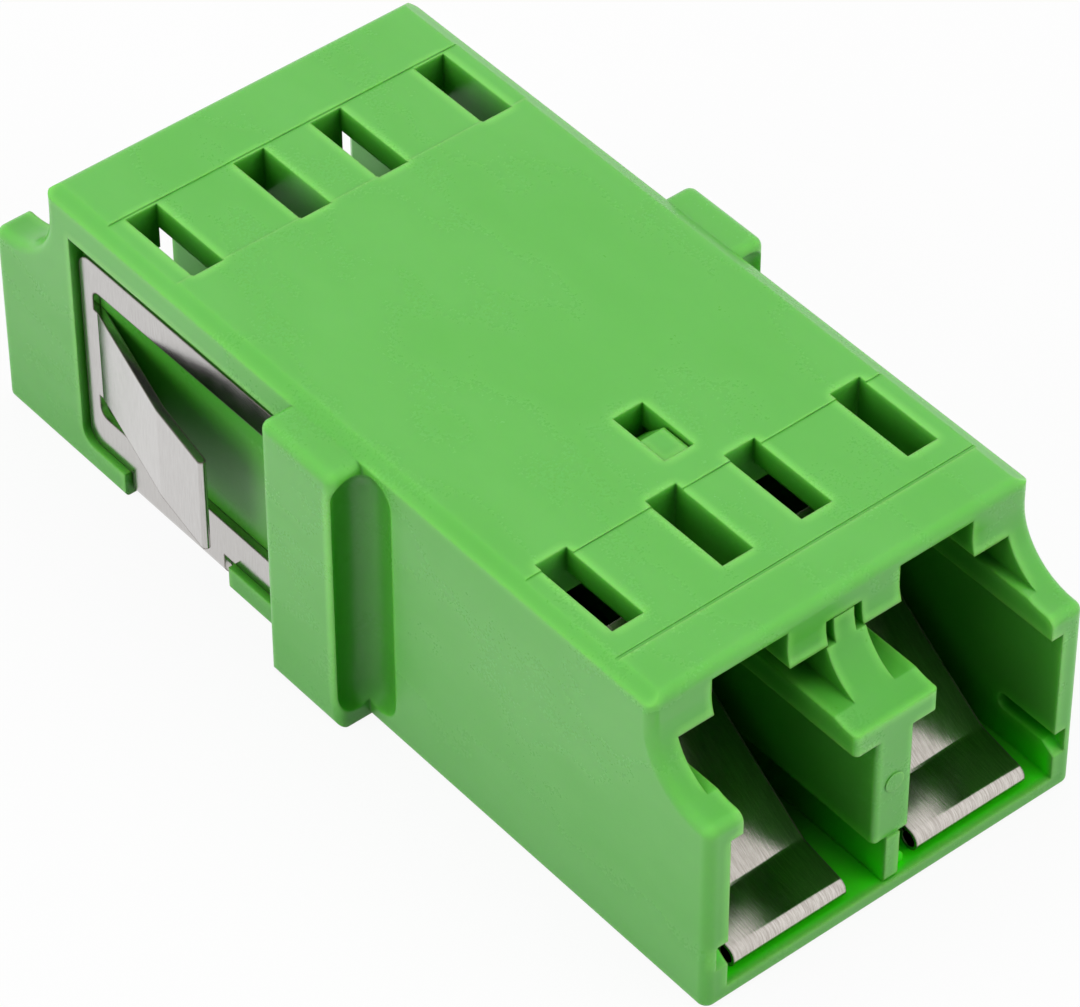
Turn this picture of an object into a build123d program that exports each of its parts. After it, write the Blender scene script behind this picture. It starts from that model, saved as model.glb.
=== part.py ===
import os
from math import acos, cos, degrees, radians, sqrt

from build123d import *

os.makedirs("parts", exist_ok=True)

# Driving dimensions, in millimetres and degrees.
# X runs across the two ports, Y from the shuttered front ports to the open rear ports, Z up.
# The origin is the middle of the underside.

# Outer body
body_height = 9.4
body_length = 30.1
roof_front_setback = 2.25
roof_rear_setback = 2.65
shoulder_drop = 0.95
front_shoulder_radius = 1.9
rear_shoulder_radius = 2.2
corner_round = 0.3
underside_round = 0.15
bevel_across = 0.44
bevel_down = 0.26

# Ports, measured from the middle plane of the part
port_pitch = 6.25
divider_width = 1.26
port_wall = 0.73
floor_thickness = 0.5
roof_thickness = 0.85
ledge_width = 0.4
ledge_height = 0.81
ledge_drop = 2.7
lug_wall = 0.8
rib_height = 0.75
rib_gap = 1.2
latch_slot_width = 2.5
mouth_lead_length = 0.9
mouth_lead_rise = 0.42
rear_lead_length = 0.6
rear_lead_depth = 0.4

# Shutter bays, low in the mouths of the front ports
bay_wall = 0.35
bay_floor = 1.3
bay_floor_rise = 0.3
bay_ceiling = 2.15
bay_length = 2.15
bay_rise_length = 0.45
bay_round = 0.25

# Latch windows in the roof, and the small window over the snap of the divider insert
window_width = 1.03
window_length = 3.0
window_margin = 0.04
front_window_setback = 2.55
rear_window_setback = 2.5
snap_window_width = 1.0
snap_window_length = 2.05
snap_window_setback = 3.8

# Shallow steps that cross the roof at the windows, and the fine groove that borders the front one
step_depth = 0.04
front_step_margins = (0.75, -0.25)
rear_step_margins = (0.08, -0.05)
groove_width = 0.13
groove_depth = 0.06

# Flange wings and the round flutes in front of them
wing_reach = 1.02
wing_front = 1.41
wing_rear = 1.66
wing_round = 0.3
flute_radius = 0.8
flute_offset = 0.4
flute_setback = 0.44
flute_margin = 0.35

# Divider on the insert and in the rear half of the housing
divider_setback = 0.12
rear_divider_setback = 0.3
divider_foot = 2.15
divider_round = 0.15
rib_width = 0.46
rib_setback = 0.05
crown_overhang = 0.76
post_width = 1.32
neck_width = 0.68
neck_setback = 0.2
insert_clearance = 0.05
snap_rise = 0.7
snap_flat = 1.0
snap_clearance = 0.08
gusset_width = 0.45
gusset_length = 0.7
gusset_height = 0.9
gusset_low_height = 0.25
gusset_setback = 0.35
pip_diameter = 0.62
pip_height = 0.03
pip_level = 4.1

# Bulkhead and sleeve tubes
sleeve_rise = 0.375
bulkhead_thickness = 0.8
plate_margin = 0.15
tube_diameter = 2.9
tube_reach = 4.2
tube_lead = 0.25
lip_bore = 1.4
lip_mouth = 1.9
sleeve_diameter = 1.6
sleeve_bore = 1.25
sleeve_length = 6.8
sleeve_slit = 0.3
sleeve_clearance = 0.04
sleeve_end_clearance = 0.05

# Shutters
curl_diameter = 0.66
curl_setback = 0.55
curl_clearance = 0.03
curl_turn = 285
leaf_thickness = 0.1
leaf_side_margin = 0.595
leaf_offset = -0.17
leaf_lead_angle = 12
leaf_lead_length = 1.38
leaf_crease_radius = 0.3
leaf_crease_angle = 22
leaf_curve_radius = 100
leaf_tip_clearance = 0.12

# Mounting clip
sheet = 0.25
clip_recess = 0.45
clip_front_clearance = 0.19
clip_rear_setback = 3.8
clip_bottom = 0.85
clip_top_drop = 1.65
clip_corner = 0.5
clip_seat = 0.03
web_rear_setback = 1.9
web_length = 4.15
web_bend = 0.1
notch_length = 0.45
top_strip = 1.03
bottom_strip = 1.25
rear_strip = 0.55
front_strip = 0.9
clip_window_round = 0.3
recess_top_margin = 0.45
recess_rear_margin = 0.12
recess_bottom_margin = 0.03
tab_slot = 0.73
tab_slot_run = 0.3
tab_rise_share = 0.54
tab_end_share = 0.29
tab_root_angle = 15
tab_end_angle = 9

# How far a cut runs past the surface that it opens
cut_margin = 1.0

# Sizes that follow
port_centre = port_pitch / 2
port_width = port_pitch - divider_width
port_half = port_centre + port_width / 2
half_width = port_half + port_wall
half_length = body_length / 2
roof_front = half_length - roof_front_setback
roof_rear = half_length - roof_rear_setback
shoulder_centre = body_height - shoulder_drop
ceiling = body_height - roof_thickness
rib_underside = ceiling - rib_height
ledge_underside = ceiling - ledge_drop
ledge_half = port_half - ledge_width
ledge_top = ledge_underside + ledge_height
lug_half = half_width - lug_wall
bay_half = half_width - bay_wall
crown_half = divider_width / 2 + crown_overhang
slot_inner = port_centre - latch_slot_width / 2
front_window_edge = roof_front - front_window_setback
rear_window_edge = roof_rear - rear_window_setback
window_offset = latch_slot_width / 2 + window_margin + window_width / 2
pocket_reach = window_offset + window_width / 2
snap_window_edge = front_window_edge - snap_window_setback
wing_top = body_height - bevel_down
divider_face = half_length - divider_setback
rear_divider_face = half_length - rear_divider_setback
sleeve_height = (floor_thickness + ledge_underside) / 2 + sleeve_rise
tube_bore = sleeve_diameter + 2 * sleeve_clearance
tube_stop = sleeve_length / 2 + sleeve_end_clearance
curl_radius = curl_diameter / 2
curl_y = -half_length + curl_setback
curl_z = floor_thickness + curl_clearance + curl_radius
leaf_width = port_width - 2 * leaf_side_margin
clip_face = half_width - clip_recess
clip_outer = clip_face + sheet
clip_front = wing_rear + clip_front_clearance
clip_rear = half_length - clip_rear_setback
clip_top = body_height - clip_top_drop
web_rear = clip_rear - web_rear_setback
web_front = web_rear - web_length
clip_window_front = clip_front + front_strip
clip_window_rear = clip_rear - rear_strip
clip_window_bottom = clip_bottom + bottom_strip
clip_window_top = clip_top - top_strip
clip_window_length = clip_window_rear - clip_window_front
clip_window_height = clip_window_top - clip_window_bottom
clip_window_centre = (
    (clip_window_front + clip_window_rear) / 2,
    (clip_window_bottom + clip_window_top) / 2,
)


def block(x_low, x_high, y_low, y_high, z_low, z_high, mode=Mode.ADD):
    """A box between two corners."""
    with Locations(((x_low + x_high) / 2, (y_low + y_high) / 2, (z_low + z_high) / 2)):
        Box(abs(x_high - x_low), abs(y_high - y_low), abs(z_high - z_low), mode=mode)


def panel(low, high, bottom, top, mode=Mode.ADD):
    """A rectangle between two corners, in a sketch."""
    with Locations(((low + high) / 2, (bottom + top) / 2)):
        Rectangle(abs(high - low), abs(top - bottom), mode=mode)


def port_pair(body_inner, ledge_inner, lug_inner):
    """Both port openings below the ribs, in a sketch of X and Z, from three inner half widths."""
    for side in (-1, 1):
        panel(side * body_inner, side * port_half, floor_thickness, ledge_underside)
        panel(side * ledge_inner, side * ledge_half, ledge_underside, ledge_top)
        panel(side * lug_inner, side * lug_half, ledge_top, rib_underside)


def shoulder_region(end, roof_end, radius, mode=Mode.ADD):
    """What the concave shoulder leaves open at one end, in a sketch of Y and Z; end is -1 or 1."""
    centre = end * (roof_end + radius)
    level = shoulder_centre - radius
    beyond = end * (half_length + cut_margin)
    above = body_height + cut_margin
    middle = (centre - end * radius * sqrt(0.5), shoulder_centre - radius * sqrt(0.5))
    with BuildLine() as outline:
        ThreePointArc((end * roof_end, shoulder_centre), middle, (centre, level))
        Polyline(
            (centre, level),
            (beyond, level),
            (beyond, above),
            (end * roof_end, above),
            (end * roof_end, shoulder_centre),
        )
    make_face(outline.edges(), mode=mode)


def sleeve_tubes(end):
    """The pair of tubes that hold the alignment sleeves, on the bulkhead side that end names."""
    with BuildSketch(Plane.XZ.offset(-end * bulkhead_thickness)) as tubes:
        with Locations((-port_centre, sleeve_height), (port_centre, sleeve_height)):
            Circle(tube_diameter / 2)
    extrude(tubes.sketch, amount=-end * (tube_reach - bulkhead_thickness))
    rims = edges().filter_by(GeomType.CIRCLE).filter_by(
        lambda edge: abs(edge.center().Y - end * tube_reach) < 0.01
    )
    chamfer(rims, tube_lead)


def sleeve_bores(end):
    """Bores that hold half of each sleeve, with a funnel through the lip at the mouth."""
    with BuildSketch(Plane.XZ) as bores:
        with Locations((-port_centre, sleeve_height), (port_centre, sleeve_height)):
            Circle(tube_bore / 2)
    extrude(bores.sketch, amount=-end * tube_stop, mode=Mode.SUBTRACT)
    lip_length = tube_reach - tube_stop
    for side in (-1, 1):
        funnel_centre = (side * port_centre, end * (tube_stop + lip_length / 2), sleeve_height)
        with Locations(Location(funnel_centre, (-end * 90, 0, 0))):
            Cone(lip_bore / 2, lip_mouth / 2, lip_length, mode=Mode.SUBTRACT)


# Housing: one moulding with both side walls, floor, roof, bulkhead and rear divider
with BuildPart() as housing:
    with BuildSketch(Plane.YZ):
        panel(-half_length, half_length, 0, body_height)
        shoulder_region(-1, roof_front, front_shoulder_radius, mode=Mode.SUBTRACT)
        shoulder_region(1, roof_rear, rear_shoulder_radius, mode=Mode.SUBTRACT)
    extrude(amount=half_width, both=True)
    end_edges = edges().filter_by(lambda edge: abs(edge.center().Y) > roof_rear - 0.01)
    upright_edges = end_edges.filter_by(lambda edge: abs(edge.center().X) > half_width - 0.01)
    crossing_edges = end_edges.filter_by(Axis.X).filter_by(lambda edge: edge.center().Z > body_height / 2)
    lip_edges = crossing_edges.filter_by(lambda edge: abs(edge.center().Y) > half_length - 0.01)
    roof_edges = crossing_edges.filter_by(lambda edge: edge.center().Z > body_height - 0.01)
    fillet(upright_edges + lip_edges + roof_edges, corner_round)
    fillet(edges().group_by(Axis.Z)[0], underside_round)

    # Bevel along both long top edges
    with BuildSketch(Plane.XZ.offset(half_length)):
        for side in (-1, 1):
            with BuildLine():
                Polyline(
                    (side * (half_width - bevel_across), body_height),
                    (side * half_width, wing_top),
                    (side * (half_width + cut_margin), wing_top),
                    (side * (half_width + cut_margin), body_height + cut_margin),
                    (side * (half_width - bevel_across), body_height + cut_margin),
                    (side * (half_width - bevel_across), body_height),
                )
            make_face()
    extrude(amount=-body_length, mode=Mode.SUBTRACT)

    # Flange wings
    for side in (-1, 1):
        block(side * port_half, side * (half_width + wing_reach), -wing_front, wing_rear, 0, wing_top)
    wing_edges = edges().filter_by(lambda edge: abs(edge.center().X) > half_width + wing_reach - 0.01)
    wing_tops = edges().filter_by(Axis.X).filter_by(
        lambda edge: abs(edge.center().X) > half_width and edge.center().Z > wing_top - 0.01
    )
    fillet(wing_edges + wing_tops, wing_round)

    # Front half: open right across, ready for the divider insert
    with BuildSketch(Plane.XZ.offset(half_length)):
        port_pair(0, 0, 0)
    extrude(amount=-half_length, mode=Mode.SUBTRACT)
    block(
        -rib_gap / 2,
        rib_gap / 2,
        -half_length,
        snap_window_length - snap_window_edge,
        rib_underside,
        ceiling,
        mode=Mode.SUBTRACT,
    )

    # Rear half: two ports on either side of a divider with a T-shaped crown
    with BuildSketch(Plane.XZ.offset(-half_length)):
        port_pair(divider_width / 2, crown_half, post_width / 2)
    extrude(amount=half_length - bulkhead_thickness, mode=Mode.SUBTRACT)
    block(
        -crown_half,
        crown_half,
        rear_divider_face,
        half_length,
        floor_thickness,
        rib_underside,
        mode=Mode.SUBTRACT,
    )

    # Lead-in on the inner faces of the rear mouth's side walls
    with BuildSketch(Plane.XY.offset(floor_thickness)):
        for side in (-1, 1):
            with BuildLine():
                Polyline(
                    (side * port_half, half_length - rear_lead_length),
                    (side * (port_half + rear_lead_depth), half_length),
                    (side * port_half, half_length),
                    (side * port_half, half_length - rear_lead_length),
                )
            make_face()
    extrude(amount=ledge_underside - floor_thickness, mode=Mode.SUBTRACT)

    # Latch slots between the hanging ribs, with a lead-in at the mouth and a pocket under the windows
    for end, roof_end, window_edge in ((-1, roof_front, front_window_edge), (1, roof_rear, rear_window_edge)):
        for side in (-1, 1):
            block(
                side * slot_inner,
                side * (slot_inner + latch_slot_width),
                end * (window_edge - window_length),
                end * half_length,
                rib_underside,
                ceiling,
                mode=Mode.SUBTRACT,
            )
            block(
                side * port_centre - pocket_reach,
                side * port_centre + pocket_reach,
                end * (window_edge - window_length),
                end * window_edge,
                rib_underside,
                ceiling,
                mode=Mode.SUBTRACT,
            )
            with BuildSketch(Plane.YZ.offset(side * slot_inner)):
                with BuildLine():
                    Polyline(
                        (end * (roof_end - mouth_lead_length), ceiling),
                        (end * roof_end, ceiling + mouth_lead_rise),
                        (end * (roof_end + cut_margin), ceiling + mouth_lead_rise),
                        (end * (roof_end + cut_margin), ceiling),
                        (end * (roof_end - mouth_lead_length), ceiling),
                    )
                make_face()
            extrude(amount=side * latch_slot_width, mode=Mode.SUBTRACT)

    # Shutter bays low in the outer walls of the front ports, on a foot that slopes down to the mouth
    bay_end = -half_length + bay_length
    for side in (-1, 1):
        with BuildSketch(Plane.YZ.offset(side * port_half)):
            with BuildLine():
                Polyline(
                    (-half_length, bay_floor),
                    (-half_length + bay_rise_length, bay_floor + bay_floor_rise),
                    (bay_end, bay_floor + bay_floor_rise),
                    (bay_end, bay_ceiling),
                    (-half_length, bay_ceiling),
                    (-half_length, bay_floor),
                )
            make_face()
            fillet(vertices().group_by(Axis.X)[-1], bay_round)
        extrude(amount=side * (bay_half - port_half), mode=Mode.SUBTRACT)

    # Shallow steps across the roof and the groove at the front one, then the windows
    front_step_end = front_window_edge + front_step_margins[0]
    for end, window_edge, margins in (
        (-1, front_window_edge, front_step_margins),
        (1, rear_window_edge, rear_step_margins),
    ):
        block(
            -half_width,
            half_width,
            end * (window_edge - window_length - margins[1]),
            end * (window_edge + margins[0]),
            body_height - step_depth,
            body_height,
            mode=Mode.SUBTRACT,
        )
    block(
        -half_width,
        half_width,
        -front_step_end - groove_width,
        -front_step_end,
        body_height - groove_depth,
        body_height,
        mode=Mode.SUBTRACT,
    )
    window_places = []
    for window_y in (window_length / 2 - front_window_edge, rear_window_edge - window_length / 2):
        for side in (-1, 1):
            for offset_x in (-window_offset, window_offset):
                window_places.append((side * port_centre + offset_x, window_y))
    with BuildSketch(Plane.XY.offset(body_height)):
        with Locations(window_places):
            Rectangle(window_width, window_length)
        with Locations((0, snap_window_length / 2 - snap_window_edge)):
            Rectangle(snap_window_width, snap_window_length)
    extrude(amount=ceiling - body_height, mode=Mode.SUBTRACT)

    # Rear sleeve tubes
    sleeve_tubes(1)
    sleeve_bores(1)

    # Round flutes that hollow the wings' front faces and the walls beside them
    for side in (-1, 1):
        flute_place = (side * (half_width + flute_offset), -wing_front - flute_setback)
        ball_levels = (flute_margin + flute_radius, body_height - flute_margin - flute_radius)
        with BuildSketch(Plane.XY.offset(ball_levels[0])):
            with Locations(flute_place):
                Circle(flute_radius)
        extrude(amount=ball_levels[1] - ball_levels[0], mode=Mode.SUBTRACT)
        with Locations([(*flute_place, level) for level in ball_levels]):
            Sphere(flute_radius, mode=Mode.SUBTRACT)

    # Seats of the clip: a recess in each side wall and a channel across the underside
    for side in (-1, 1):
        with BuildSketch(Plane.YZ.offset(side * clip_face)):
            panel(
                wing_rear,
                clip_rear + recess_rear_margin,
                clip_bottom - recess_bottom_margin,
                clip_top + recess_top_margin,
            )
            fillet(vertices().group_by(Axis.X)[-1].group_by(Axis.Y)[0], clip_corner)
            panel(web_front - notch_length, web_rear + recess_rear_margin, -cut_margin, clip_bottom)
        extrude(amount=side * (clip_recess + cut_margin), mode=Mode.SUBTRACT)
    block(
        -half_width,
        half_width,
        web_front - notch_length,
        web_rear + recess_rear_margin,
        -cut_margin,
        clip_seat + sheet,
        mode=Mode.SUBTRACT,
    )

housing.part.label = "housing"
export_step(housing.part, "parts/housing.step")


# Divider insert: front divider, plate and front halves of the sleeve tubes
with BuildPart() as divider_insert:
    plate_half = ledge_half - plate_margin
    post_top = rib_underside - insert_clearance
    neck_top = ceiling - insert_clearance
    neck_end = snap_window_length - snap_window_edge - neck_setback
    block(
        -plate_half,
        plate_half,
        -bulkhead_thickness,
        0,
        floor_thickness + insert_clearance,
        post_top,
    )
    block(
        -divider_width / 2,
        divider_width / 2,
        -divider_face,
        -bulkhead_thickness,
        divider_foot,
        ledge_underside,
    )
    block(-crown_half, crown_half, -divider_face, -bulkhead_thickness, ledge_underside, ledge_top)
    front_uprights = edges().filter_by(Axis.Z).group_by(Axis.Y)[0]
    fillet(front_uprights, divider_round)
    block(
        -rib_width / 2,
        rib_width / 2,
        -half_length + rib_setback,
        -bulkhead_thickness,
        floor_thickness,
        divider_foot,
    )
    fillet(edges().filter_by(Axis.X).group_by(Axis.Y)[0].sort_by(Axis.Z)[0], divider_round)

    # Round moulding pip on the front face of the divider
    with BuildSketch(Plane.XZ.offset(divider_face)):
        with Locations((0, pip_level)):
            Circle(pip_diameter / 2)
    extrude(amount=pip_height)

    # Gusset on the foot rib, beside the end of the right-hand curl
    with BuildSketch(Plane.XZ.offset(half_length - gusset_setback)):
        with BuildLine():
            Polyline(
                (rib_width / 2, floor_thickness),
                (rib_width / 2 + gusset_width, floor_thickness),
                (rib_width / 2 + gusset_width, floor_thickness + gusset_low_height),
                (rib_width / 2, floor_thickness + gusset_height),
                (rib_width / 2, floor_thickness),
            )
        make_face()
    extrude(amount=-gusset_length)

    # Post between the ribs, its narrow neck, and the snap that springs into the small window
    block(-post_width / 2, post_width / 2, -half_length, -bulkhead_thickness, ledge_top, post_top)
    block(-neck_width / 2, neck_width / 2, -half_length, neck_end, post_top, neck_top)
    snap_front = snap_clearance - snap_window_edge
    with BuildSketch(Plane.YZ):
        with BuildLine():
            Polyline(
                (snap_front, neck_top),
                (snap_front, ceiling + snap_rise),
                (snap_front + snap_flat, ceiling + snap_rise),
                (neck_end, neck_top),
                (snap_front, neck_top),
            )
        make_face()
    extrude(amount=snap_window_width / 2 - snap_clearance, both=True)

    # Concave front that matches the shoulders of the housing
    with BuildSketch(Plane.YZ):
        shoulder_region(-1, roof_front, front_shoulder_radius)
    extrude(amount=crown_half, both=True, mode=Mode.SUBTRACT)

    sleeve_tubes(-1)
    sleeve_bores(-1)

divider_insert.part.label = "divider_insert"
export_step(divider_insert.part, "parts/divider_insert.step")


# Split alignment sleeves, one for each pair of ports
for side, side_name in ((-1, "left"), (1, "right")):
    with BuildPart() as split_sleeve:
        with BuildSketch(Plane.XZ.offset(sleeve_length / 2)):
            with Locations((side * port_centre, sleeve_height)):
                Circle(sleeve_diameter / 2)
                Circle(sleeve_bore / 2, mode=Mode.SUBTRACT)
            with Locations((side * port_centre, sleeve_height + sleeve_diameter / 2)):
                Rectangle(sleeve_slit, sleeve_diameter, mode=Mode.SUBTRACT)
        extrude(amount=-sleeve_length)
    split_sleeve.part.label = "split_sleeve_" + side_name
    export_step(split_sleeve.part, "parts/split_sleeve_" + side_name + ".step")


# Shutters: a thin leaf that leaves the top of a rolled edge, creases, and rises into the port
mid_radius = curl_radius - leaf_thickness / 2
crease_slope = leaf_lead_angle + leaf_crease_angle
with BuildLine():
    curl = CenterArc((curl_y, curl_z), mid_radius, 90 + leaf_lead_angle, curl_turn)
    lead = PolarLine(curl @ 0, leaf_lead_length, leaf_lead_angle)
    crease = JernArc(lead @ 1, lead % 1, leaf_crease_radius, leaf_crease_angle)
leaf_rise = ledge_underside - leaf_tip_clearance - (crease @ 1).Y
tip_slope = degrees(acos(cos(radians(crease_slope)) - leaf_rise / leaf_curve_radius))

for side, side_name in ((-1, "left"), (1, "right")):
    with BuildPart() as shutter:
        with BuildSketch(Plane.YZ.offset(side * port_centre + leaf_offset - leaf_width / 2)):
            ends = []
            with BuildLine():
                for shift in (-leaf_thickness / 2, leaf_thickness / 2):
                    curl = CenterArc((curl_y, curl_z), mid_radius + shift, 90 + leaf_lead_angle, curl_turn)
                    lead = PolarLine(curl @ 0, leaf_lead_length, leaf_lead_angle)
                    crease = JernArc(lead @ 1, lead % 1, leaf_crease_radius - shift, leaf_crease_angle)
                    rise = JernArc(
                        crease @ 1,
                        crease % 1,
                        leaf_curve_radius - shift,
                        tip_slope - crease_slope,
                    )
                    ends.append((curl @ 1, rise @ 1))
                Line(ends[0][0], ends[1][0])
                Line(ends[0][1], ends[1][1])
            make_face()
        extrude(amount=leaf_width)
    shutter.part.label = "shutter_" + side_name
    export_step(shutter.part, "parts/shutter_" + side_name + ".step")


# Mounting clip: one strip folded round the underside, with a window and a spring tab in each leg
with BuildPart() as mounting_clip:
    tab_bottom = clip_window_bottom + tab_slot
    tab_top = clip_window_top - tab_slot
    for side in (-1, 1):
        with BuildSketch(Plane.YZ.offset(side * clip_face)):
            panel(clip_front, clip_rear, clip_bottom, clip_top)
            fillet(vertices().group_by(Axis.X)[-1], clip_corner)
            panel(web_front, web_rear, clip_seat + sheet, clip_bottom + clip_corner)
            with Locations(clip_window_centre):
                RectangleRounded(
                    clip_window_length,
                    clip_window_height,
                    clip_window_round,
                    mode=Mode.SUBTRACT,
                )
            panel(clip_window_rear - tab_slot_run, clip_window_rear, tab_bottom, tab_top)
        extrude(amount=side * sheet)
    block(-clip_outer, clip_outer, web_front, web_rear, clip_seat, clip_seat + sheet)
    folds = edges().filter_by(Axis.Y).filter_by(
        lambda edge: abs(edge.center().X) > clip_outer - 0.01 and edge.center().Z < clip_seat + 0.01
    )
    fillet(folds, sheet + web_bend)
    for side in (-1, 1):
        with BuildSketch(Plane.XY.offset(tab_bottom)):
            with BuildLine():
                root = PolarLine(
                    (side * (clip_face + sheet / 2), clip_window_rear - tab_slot_run + sheet / 2),
                    tab_rise_share * clip_window_length,
                    -90 + side * tab_root_angle,
                )
                PolarLine(root @ 1, tab_end_share * clip_window_length, -90 + side * tab_end_angle)
                offset(amount=sheet / 2)
            make_face()
        extrude(amount=tab_top - tab_bottom)

mounting_clip.part.label = "mounting_clip"
export_step(mounting_clip.part, "parts/mounting_clip.step")
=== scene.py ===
import math

import bmesh
import bpy
from mathutils import Matrix, Vector

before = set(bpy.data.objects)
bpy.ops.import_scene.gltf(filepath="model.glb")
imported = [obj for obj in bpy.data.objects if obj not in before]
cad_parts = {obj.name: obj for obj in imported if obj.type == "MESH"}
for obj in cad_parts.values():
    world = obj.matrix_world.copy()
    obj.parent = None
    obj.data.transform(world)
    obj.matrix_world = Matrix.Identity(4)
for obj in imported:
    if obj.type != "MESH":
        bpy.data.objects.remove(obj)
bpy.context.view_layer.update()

MM = 0.001
scene = bpy.context.scene


# ---- Node helpers

def calculate(tree, operation, first, second):
    """A maths node's output; each of its two inputs is a number or another node's output."""
    node = tree.nodes.new("ShaderNodeMath")
    node.operation = operation
    for socket, value in zip(node.inputs, (first, second)):
        if isinstance(value, (int, float)):
            socket.default_value = value
        else:
            tree.links.new(value, socket)
    return node.outputs[0]


class Graph:
    """A material's node tree, with short ways to add and join its nodes."""

    def __init__(self, name, edge_radius):
        self.material = bpy.data.materials.new(name)
        self.material.use_nodes = True
        self.tree = self.material.node_tree
        self.shader = self.tree.nodes["Principled BSDF"]
        self.place = self.add("ShaderNodeTexCoord").outputs["Object"]
        self.edge = self.add("ShaderNodeBevel", samples=4, s_Radius=edge_radius).outputs["Normal"]

    def add(self, kind, links=None, **values):
        """A node. Links join its sockets; a value named s_... fills a socket, any other sets a property."""
        node = self.tree.nodes.new(kind)
        for name, value in values.items():
            if name.startswith("s_"):
                node.inputs[name[2:].replace("_", " ")].default_value = value
            else:
                setattr(node, name, value)
        for name, source in (links or {}).items():
            self.tree.links.new(source, node.inputs[name])
        return node

    def stretched(self, scale):
        """Object coordinates with their own scale on each axis."""
        return self.add("ShaderNodeMapping", {"Vector": self.place}, s_Scale=scale).outputs["Vector"]

    def axis(self, name):
        """One object coordinate: X to the right, Y to the back, Z up."""
        return self.add("ShaderNodeSeparateXYZ", {"Vector": self.place}).outputs[name]

    def noise(self, size, detail, roughness, place=None):
        """Noise whose spots are about size metres across."""
        node = self.add(
            "ShaderNodeTexNoise",
            {"Vector": place or self.place},
            s_Scale=1 / size,
            s_Detail=detail,
            s_Roughness=roughness,
        )
        return node.outputs["Fac"]

    def spread(self, source, to=(0.0, 1.0), over=(0.3, 0.7)):
        """A value that goes from to's first number to its second while source goes over its own two."""
        node = self.add(
            "ShaderNodeMapRange",
            {"Value": source},
            s_From_Min=over[0],
            s_From_Max=over[1],
            s_To_Min=to[0],
            s_To_Max=to[1],
        )
        return node.outputs["Result"]

    def blend(self, share, first, second):
        """A colour that goes from first to second as share goes from 0 to 1."""
        node = self.add("ShaderNodeMix", data_type="RGBA")
        factor, colour_a, colour_b = node.inputs[0], node.inputs[6], node.inputs[7]
        self.tree.links.new(share, factor)
        for socket, value in ((colour_a, first), (colour_b, second)):
            if isinstance(value, tuple):
                socket.default_value = value
            else:
                self.tree.links.new(value, socket)
        return node.outputs[2]

    def plus(self, first, second):
        return calculate(self.tree, "ADD", first, second)

    def times(self, first, second):
        return calculate(self.tree, "MULTIPLY", first, second)

    def closeness(self, reach, inside):
        """How much lies within reach: 0 for none, 1 for walls all round, looking inwards or outwards."""
        node = self.add("ShaderNodeAmbientOcclusion", samples=2, inside=inside, s_Distance=reach)
        return calculate(self.tree, "SUBTRACT", 1.0, node.outputs["AO"])

    def relief(self, height, depth):
        """Bump of a given depth on top of the softly rounded edges, sent to the shader's normal."""
        bump = self.add(
            "ShaderNodeBump",
            {"Height": height, "Normal": self.edge},
            s_Strength=1.0,
            s_Distance=depth,
        )
        self.send("Normal", bump.outputs["Normal"])

    def send(self, socket, source):
        """Joins a node's output to one of the shader's sockets."""
        self.tree.links.new(source, self.shader.inputs[socket])

    def fix(self, **values):
        """Sets values that are the same everywhere, on the shader's own sockets."""
        for name, value in values.items():
            self.shader.inputs[name.replace("_", " ")].default_value = value


def colour(red, green, blue):
    """A colour written as sRGB numbers from 0 to 255, as the linear values that a socket takes."""
    linear = []
    for part in (red, green, blue):
        part /= 255
        linear.append(part / 12.92 if part <= 0.04045 else ((part + 0.055) / 1.055) ** 2.4)
    return (*linear, 1.0)


# ---- Materials

WHITE = (1.0, 1.0, 1.0, 1.0)
CAVITY_REACH = 7 * MM


def painted_floor_glow_share(graph, hollow):
    """Share of a painted glow, set by position: a purer green standing in for daylight coming up through the
    thin floor and low walls of the front mouth, seen from inside.
    """
    above_floor = graph.spread(graph.axis("Z"), (1.0, 0.0), (0.9 * MM, 2.6 * MM))
    near_mouth = graph.spread(graph.axis("Y"), (1.0, 0.0), (-14.6 * MM, -11.6 * MM))
    behind_lip = graph.spread(graph.axis("Y"), (0.0, 1.0), (-15.0 * MM, -14.8 * MM))
    off_centre = calculate(graph.tree, "ABSOLUTE", graph.axis("X"), 0.0)
    between_walls = graph.spread(off_centre, (1.0, 0.0), (6.0 * MM, 6.1 * MM))
    share = graph.spread(hollow, over=(0.3, 0.5))
    for limit in (above_floor, near_mouth, behind_lip, between_walls):
        share = graph.times(share, limit)
    return share


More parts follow.
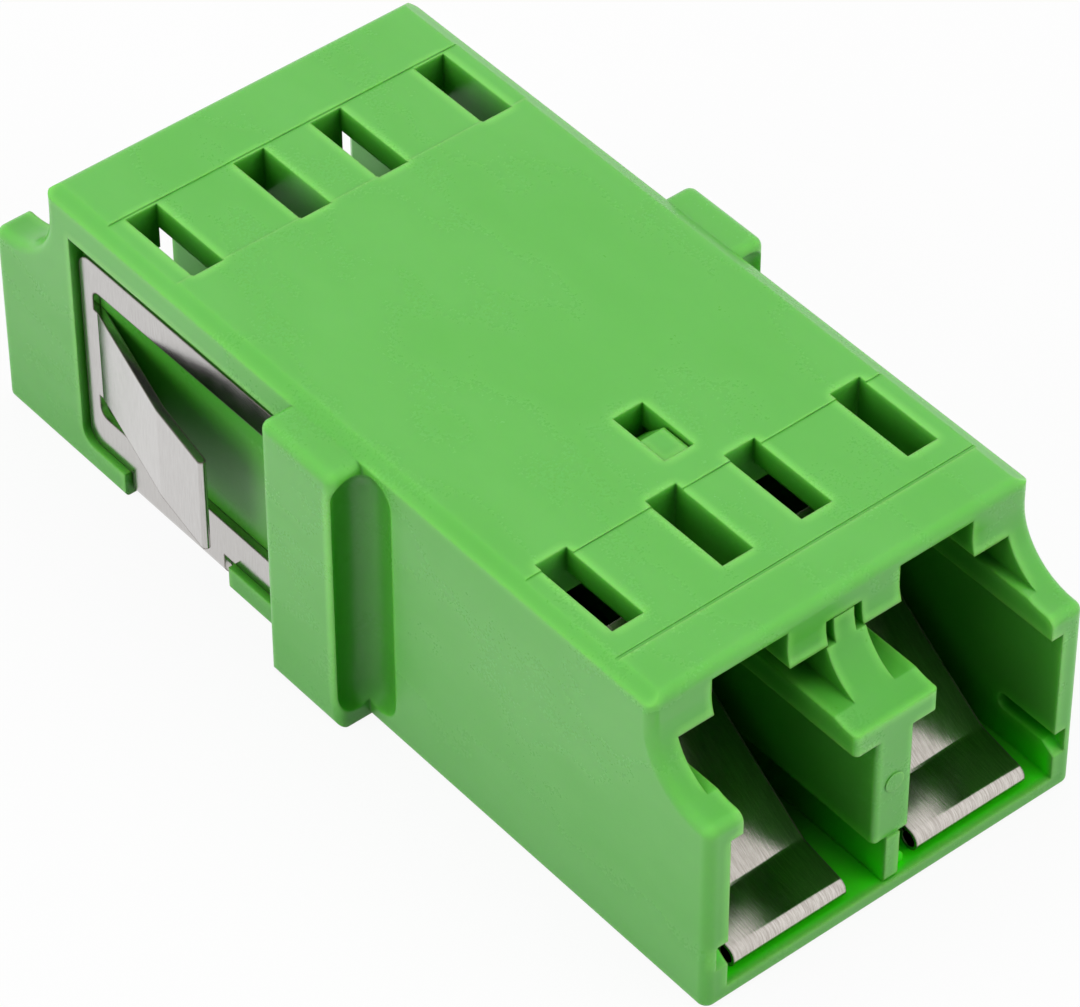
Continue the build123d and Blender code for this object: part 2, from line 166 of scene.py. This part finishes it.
def moulded_plastic(name, body, flow_tint, painted_thin_glow_tint, painted_shade_tint, painted_floor_glow_tint):
    """Glossy tinted plastic: faint flow marks, a painted glow that lightens thin edges, painted shade that
    deepens the green and tints the gloss where little light gets in, and a painted glow on the front mouth's
    floor.
    """
    graph = Graph(name, edge_radius=0.13 * MM)
    flow_marks = graph.noise(4 * MM, 4.0, 0.6, graph.stretched((1.0, 0.4, 1.0)))
    grain = graph.noise(0.09 * MM, 2.0, 0.6)
    sink_marks = graph.noise(1.1 * MM, 3.0, 0.55)
    # Painted glow: thin edges are lightened towards a paler green, standing in for light shining through
    # them.
    painted_thin_edge_glow = graph.spread(graph.closeness(0.3 * MM, inside=True), over=(0.0, 0.45))
    hollow = graph.closeness(CAVITY_REACH, inside=False)
    # Painted shade: the hollows are darkened to a deeper, purer green.
    painted_shade = graph.spread(hollow, over=(0.3, 0.95))

    skin = graph.blend(graph.spread(flow_marks), body, flow_tint)
    skin = graph.blend(painted_thin_edge_glow, skin, painted_thin_glow_tint)
    skin = graph.blend(painted_shade, skin, painted_shade_tint)
    # Painted glow: a purer green is painted by position on the front mouth's floor and low walls.
    skin = graph.blend(painted_floor_glow_share(graph, hollow), skin, painted_floor_glow_tint)
    graph.send("Base Color", skin)
    # Painted shade in the gloss: reflections in the hollows are tinted green instead of white.
    graph.send("Specular Tint", graph.blend(painted_shade, WHITE, painted_shade_tint))

    polish = graph.spread(graph.plus(flow_marks, graph.times(grain, 0.15)), (0.22, 0.31), (0.4, 0.7))
    duller_inside = graph.spread(hollow, (0.0, 0.25))
    graph.send("Roughness", graph.plus(polish, duller_inside))
    graph.relief(graph.plus(graph.times(grain, 0.06), sink_marks), 0.006 * MM)
    graph.fix(
        Subsurface_Weight=0.4,
        Subsurface_Radius=(0.4, 1.0, 0.1),
        Subsurface_Scale=0.6 * MM,
        Specular_IOR_Level=0.5,
        IOR=1.6,
    )
    return graph.material


def rolled_steel(name, light, dark, painted_shade, cut_edge, grain_stretch, roughness):
    """Thin cold-rolled spring steel: fine grain along its strip, duller cut edges, and painted shade that
    darkens it far inside the housing.
    """
    graph = Graph(name, edge_radius=0.03 * MM)
    grain = graph.noise(0.05 * MM, 4.0, 0.7, graph.stretched(grain_stretch))
    cloud = graph.noise(1.2 * MM, 3.0, 0.6)
    # Painted shade: where the steel is enclosed, its colour is blended towards a darker one.
    inside = graph.spread(graph.closeness(CAVITY_REACH, inside=False), over=(0.45, 0.85))
    sheared = graph.spread(graph.closeness(0.06 * MM, inside=True), over=(0.1, 0.4))

    sheet = graph.blend(graph.spread(grain, over=(0.35, 0.65)), dark, light)
    sheet = graph.blend(inside, sheet, painted_shade)
    graph.send("Base Color", graph.blend(sheared, sheet, cut_edge))

    polish = graph.spread(cloud, (roughness - 0.03, roughness + 0.03))
    graph.send("Roughness", graph.plus(polish, graph.times(sheared, 0.25)))
    graph.relief(grain, 0.0012 * MM)
    graph.fix(Metallic=1.0)
    return graph.material


def white_ceramic(name):
    """Ground white ceramic of the alignment sleeves."""
    graph = Graph(name, edge_radius=0.04 * MM)
    cloud = graph.noise(0.8 * MM, 3.0, 0.6)
    grain = graph.noise(0.03 * MM, 2.0, 0.5)
    graph.send("Base Color", graph.blend(graph.spread(cloud), colour(240, 236, 226), colour(228, 223, 212)))
    graph.send("Roughness", graph.spread(grain, (0.18, 0.28)))
    graph.relief(grain, 0.001 * MM)
    return graph.material


body_green = colour(97, 188, 73)
# Painted glow colour for the thin edges of the green plastic.
painted_thin_glow_green = colour(128, 218, 92)
# Painted shade colour for the hollows of the green plastic.
painted_shade_green = colour(46, 140, 20)
# Painted glow colour for the front mouth's floor and low walls.
painted_floor_glow_green = colour(50, 238, 6)
sheared_grey = colour(120, 112, 104)

housing_green = moulded_plastic(
    "housing_green", body_green, colour(87, 180, 61), painted_thin_glow_green, painted_shade_green, painted_floor_glow_green
)
insert_green = moulded_plastic(
    "insert_green", body_green, colour(88, 181, 62), painted_thin_glow_green, painted_shade_green, painted_floor_glow_green
)
shutter_steel = rolled_steel(
    "shutter_steel",
    light=colour(224, 219, 212),
    dark=colour(190, 184, 177),
    # Painted shade colour for the shutters far inside the housing.
    painted_shade=colour(112, 104, 88),
    cut_edge=sheared_grey,
    grain_stretch=(1.0, 0.08, 0.08),
    roughness=0.13,
)
clip_steel = rolled_steel(
    "clip_steel",
    light=colour(199, 197, 195),
    dark=colour(188, 185, 183),
    # Painted shade colour for the clip where it is enclosed, barely darker than its grain.
    painted_shade=colour(186, 183, 179),
    cut_edge=sheared_grey,
    grain_stretch=(1.0, 1.0, 0.08),
    roughness=0.17,
)
sleeve_ceramic = white_ceramic("sleeve_ceramic")

finishes = {
    "housing": housing_green,
    "divider_insert": insert_green,
    "shutter_left": shutter_steel,
    "shutter_right": shutter_steel,
    "mounting_clip": clip_steel,
    "split_sleeve_left": sleeve_ceramic,
    "split_sleeve_right": sleeve_ceramic,
}
for node_name, finish in finishes.items():
    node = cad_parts[node_name]
    node.data.materials.clear()
    node.data.materials.append(finish)


# ---- Studio: a pale floor, a white room that only mirrors and the camera see, soft lamps, the camera

# The world counts one more than a surface does in a ray's depth, so this lets a first mirrored look see it
FIRST_MIRROR_DEPTH = 2.5
FLOOR_GLOW_SHARE = 0.88
FLOOR_GLOW_STRENGTH = 1.05
ROOM_LIGHT = 0.05


def seen_directly(tree):
    """1 where the camera sees a surface straight, mirrored or through glass, and 0 for soaked-up light."""
    path = tree.nodes.new("ShaderNodeLightPath").outputs
    straight_or_mirrored = calculate(tree, "MAXIMUM", path["Is Camera Ray"], path["Is Glossy Ray"])
    any_look = calculate(tree, "MAXIMUM", straight_or_mirrored, path["Is Transmission Ray"])
    first_look = calculate(tree, "LESS_THAN", path["Ray Depth"], FIRST_MIRROR_DEPTH)
    return calculate(tree, "MULTIPLY", any_look, first_look)


def studio_floor():
    mesh = bpy.data.meshes.new("studio_floor")
    shape = bmesh.new()
    bmesh.ops.create_grid(shape, x_segments=8, y_segments=8, size=0.8)
    shape.to_mesh(mesh)
    shape.free()
    floor = bpy.data.objects.new("studio_floor", mesh)
    scene.collection.objects.link(floor)
    graph = Graph("studio_white", edge_radius=0.1 * MM)
    graph.fix(Base_Color=colour(188, 188, 188), Roughness=0.9)
    glow = graph.add("ShaderNodeEmission", s_Strength=FLOOR_GLOW_STRENGTH)
    share = graph.times(seen_directly(graph.tree), FLOOR_GLOW_SHARE)
    mix = graph.add(
        "ShaderNodeMixShader",
        {0: share, 1: graph.shader.outputs["BSDF"], 2: glow.outputs["Emission"]},
    )
    graph.tree.links.new(mix.outputs[0], graph.tree.nodes["Material Output"].inputs["Surface"])
    mesh.materials.append(graph.material)


def studio_world():
    world = bpy.data.worlds.new("studio_world")
    scene.world = world
    world.use_nodes = True
    nodes = world.node_tree.nodes
    links = world.node_tree.links
    back = nodes["Background"]
    back.inputs["Color"].default_value = WHITE
    strength = nodes.new("ShaderNodeMapRange")
    strength.inputs["To Min"].default_value = ROOM_LIGHT
    strength.inputs["To Max"].default_value = 1.0
    links.new(seen_directly(world.node_tree), strength.inputs["Value"])
    links.new(strength.outputs["Result"], back.inputs["Strength"])


def softbox(name, place, side, power):
    """A square lamp aimed at the object. It lights, and isn't itself mirrored in steel or gloss."""
    data = bpy.data.lights.new(name, "AREA")
    data.shape = "SQUARE"
    data.size = side
    data.energy = power
    lamp = bpy.data.objects.new(name, data)
    lamp.location = place
    lamp.visible_glossy = False
    lamp.rotation_euler = (-Vector(place)).to_track_quat("-Z", "Y").to_euler()
    scene.collection.objects.link(lamp)


# The camera's turn about Z, height above the horizon and tilt, in degrees, found from the object's own edges
camera_azimuth = -39.444
camera_elevation = 43.853
camera_roll = -0.207
camera_shift_right = -0.529 * MM
camera_shift_down = 2.04 * MM
camera_distance = 156.397 * MM
focal_pixels = 5732.67
photo_width = 1080
sensor_width = 36


def studio_camera():
    turn = math.radians(camera_azimuth)
    height = math.radians(camera_elevation)
    tilt = math.radians(camera_roll)
    back = Vector((math.sin(turn) * math.cos(height), -math.cos(turn) * math.cos(height), math.sin(height)))
    level = Vector((math.cos(turn), math.sin(turn), 0))
    upward = back.cross(level)
    right = math.cos(tilt) * level + math.sin(tilt) * upward
    up = -math.sin(tilt) * level + math.cos(tilt) * upward
    place = back * camera_distance - right * camera_shift_right + up * camera_shift_down
    data = bpy.data.cameras.new("camera")
    data.sensor_width = sensor_width
    data.sensor_fit = "HORIZONTAL"
    data.lens = focal_pixels / photo_width * sensor_width
    data.clip_start = 0.01
    data.clip_end = 10
    camera = bpy.data.objects.new("camera", data)
    camera.matrix_world = Matrix(
        (
            (right.x, up.x, back.x, place.x),
            (right.y, up.y, back.y, place.y),
            (right.z, up.z, back.z, place.z),
            (0, 0, 0, 1),
        )
    )
    scene.collection.objects.link(camera)
    scene.camera = camera


studio_floor()
studio_world()
studio_camera()
softbox("top_lamp", (0.03, 0.08, 0.38), side=0.5, power=1.40)
softbox("left_lamp", (-0.40, 0.10, 0.16), side=0.4, power=1.45)
softbox("right_front_lamp", (0.24, -0.40, 0.18), side=0.4, power=1.55)
scene.view_settings.view_transform = "Standard"
